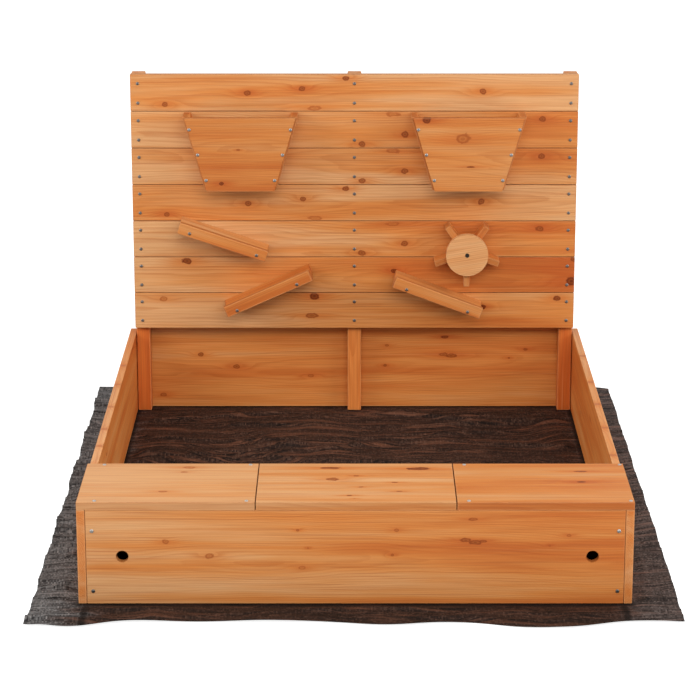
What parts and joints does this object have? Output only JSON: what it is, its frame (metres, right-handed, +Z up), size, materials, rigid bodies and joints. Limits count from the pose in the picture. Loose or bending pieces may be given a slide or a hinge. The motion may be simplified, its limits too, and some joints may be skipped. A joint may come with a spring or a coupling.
{
  "type": "wooden sandbox",
  "caption": "Low wooden sandbox with a bench seat, a storage lid in the bench, and a play wall with funnels, sloping chutes and a turning sand wheel, on a ground sheet.",
  "frame": {"origin": "on the ground under the ground sheet, below the middle of the wooden box", "axes": "+X to the right seen from the bench, +Y from the bench to the play wall, +Z up"},
  "size_m": [1.42, 1.765, 0.9168],
  "materials": {
    "stained_softwood": "honey-orange stained softwood, satin, fine sawn grain",
    "zinc_steel": "zinc-plated wood screws and hinge leaves",
    "woven_sheet": "dark grey-brown woven weed-control fabric, matt"
  },
  "bodies": {
    "box": {"side_board_left": "stained_softwood", "side_board_right": "stained_softwood", "front_board": "stained_softwood", "back_board": "stained_softwood", "front_corner_post_left": "stained_softwood", "front_corner_post_right": "stained_softwood", "wall_post_left": "stained_softwood", "wall_post_centre": "stained_softwood", "wall_post_right": "stained_softwood", "bench_rear_board": "stained_softwood", "bench_top_left": "stained_softwood", "bench_top_right": "stained_softwood", "lid_hinge_bench_leaves": "zinc_steel", "lid_hinge_pins": "zinc_steel", "lid_hinge_bench_screws": "zinc_steel", "wall_board_1": "stained_softwood", "wall_board_2": "stained_softwood", "wall_board_3": "stained_softwood", "wall_board_4": "stained_softwood", "wall_board_5": "stained_softwood", "wall_board_6": "stained_softwood", "wall_board_7": "stained_softwood", "funnel_left_front_plate": "stained_softwood", "funnel_left_outer_side": "stained_softwood", "funnel_left_inner_side": "stained_softwood", "funnel_right_front_plate": "stained_softwood", "funnel_right_inner_side": "stained_softwood", "funnel_right_outer_side": "stained_softwood", "chute_upper_floor": "stained_softwood", "chute_upper_strip": "stained_softwood", "chute_lower_floor": "stained_softwood", "chute_lower_strip": "stained_softwood", "chute_right_floor": "stained_softwood", "chute_right_strip": "stained_softwood", "wheel_axle_bolt": "zinc_steel", "wheel_axle_nut": "zinc_steel", "wheel_washers": "zinc_steel", "front_board_screws": "zinc_steel", "side_board_screws": "zinc_steel", "back_board_screws": "zinc_steel", "bench_top_screws": "zinc_steel", "wall_screws": "zinc_steel", "funnel_screws": "zinc_steel", "chute_screws": "zinc_steel", "wall_rear_screws": "zinc_steel", "ground_sheet": "woven_sheet"},
    "lid": {"storage_lid": "stained_softwood", "lid_batten_left": "stained_softwood", "lid_batten_right": "stained_softwood", "lid_batten_screws": "zinc_steel", "lid_hinge_lid_leaves": "zinc_steel", "lid_hinge_lid_screws": "zinc_steel"},
    "wheel": {"wheel_disc": "stained_softwood", "wheel_hub": "stained_softwood", "wheel_paddle_1": "stained_softwood", "wheel_paddle_2": "stained_softwood", "wheel_paddle_3": "stained_softwood", "wheel_paddle_4": "stained_softwood", "wheel_paddle_5": "stained_softwood"}
  },
  "joints": [
    {"name": "lid_hinge", "type": "hinge", "parent": "box", "child": "lid", "pos_m": [0.0015, -0.472, 0.216], "axis": [-1, 0, 0], "range_deg": [0, 170]},
    {"name": "wheel_spin", "type": "hinge", "parent": "box", "child": "wheel", "pos_m": [0.2944, 0.635, 0.4525], "axis": [0, 1, 0], "continuous": true}
  ]
}
